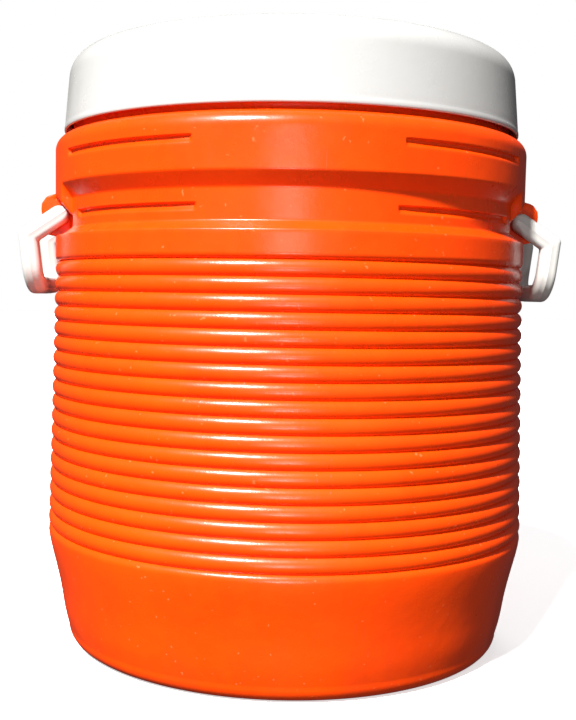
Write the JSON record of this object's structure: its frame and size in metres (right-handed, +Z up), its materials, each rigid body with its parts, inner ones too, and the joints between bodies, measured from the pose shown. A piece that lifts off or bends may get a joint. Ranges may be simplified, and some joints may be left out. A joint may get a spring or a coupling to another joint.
{
  "type": "insulated water jug",
  "caption": "Ribbed insulated water jug with a lift-off lid, two swinging bail handles and a recessed push-button spigot.",
  "frame": {"origin": "on the jug's vertical axis, at the plane of the floor it stands on", "axes": "+Z up along the jug's axis, +X towards the right handle, -Y the plain front, +Y the side with the spigot"},
  "size_m": [0.4532, 0.412, 0.499],
  "materials": {
    "shell_plastic": "satin orange polyethylene, slightly textured",
    "lid_plastic": "smooth white polypropylene",
    "handle_plastic": "smooth white polypropylene",
    "liner_plastic": "white food-grade polyethylene",
    "foam": "rigid polyurethane foam",
    "seal_rubber": "pale silicone rubber",
    "spigot_plastic": "white acetal",
    "button_plastic": "red polypropylene",
    "spring_steel": "stainless wire"
  },
  "bodies": {
    "jug": {"outer_shell": "shell_plastic", "inner_liner": "liner_plastic", "insulation_foam": "foam", "foam_fill_plug": "shell_plastic", "spigot_body": "spigot_plastic", "spigot_bonnet": "spigot_plastic", "spigot_nut": "spigot_plastic", "spigot_outer_gasket": "seal_rubber", "spigot_inner_gasket": "seal_rubber", "spigot_spring": "spring_steel"},
    "lid": {"lid_cover": "lid_plastic", "lid_liner": "liner_plastic", "lid_gasket": "seal_rubber", "lid_foam": "foam"},
    "right_bail": {"right_handle": "handle_plastic"},
    "left_bail": {"left_handle": "handle_plastic"},
    "valve": {"spigot_button": "button_plastic", "spigot_stem": "spigot_plastic", "stem_o_ring": "seal_rubber", "spigot_valve_seal": "seal_rubber"}
  },
  "joints": [
    {"name": "lid_lift", "type": "slide", "parent": "jug", "child": "lid", "axis": [0, 0, 1], "range_m": [0, 0.15]},
    {"name": "right_handle_swing", "type": "hinge", "parent": "jug", "child": "right_bail", "pos_m": [0.1927, 0, 0.3613], "axis": [0, -1, 0], "range_deg": [0, 75]},
    {"name": "left_handle_swing", "type": "hinge", "parent": "jug", "child": "left_bail", "pos_m": [-0.1927, 0, 0.3613], "axis": [0, 1, 0], "range_deg": [0, 75]},
    {"name": "spigot_press", "type": "slide", "parent": "jug", "child": "valve", "axis": [0, 0, -1], "range_m": [0, 0.006], "stiffness_N_per_m": 300, "springref_m": -0.012, "deforming": ["spigot_spring"]}
  ]
}
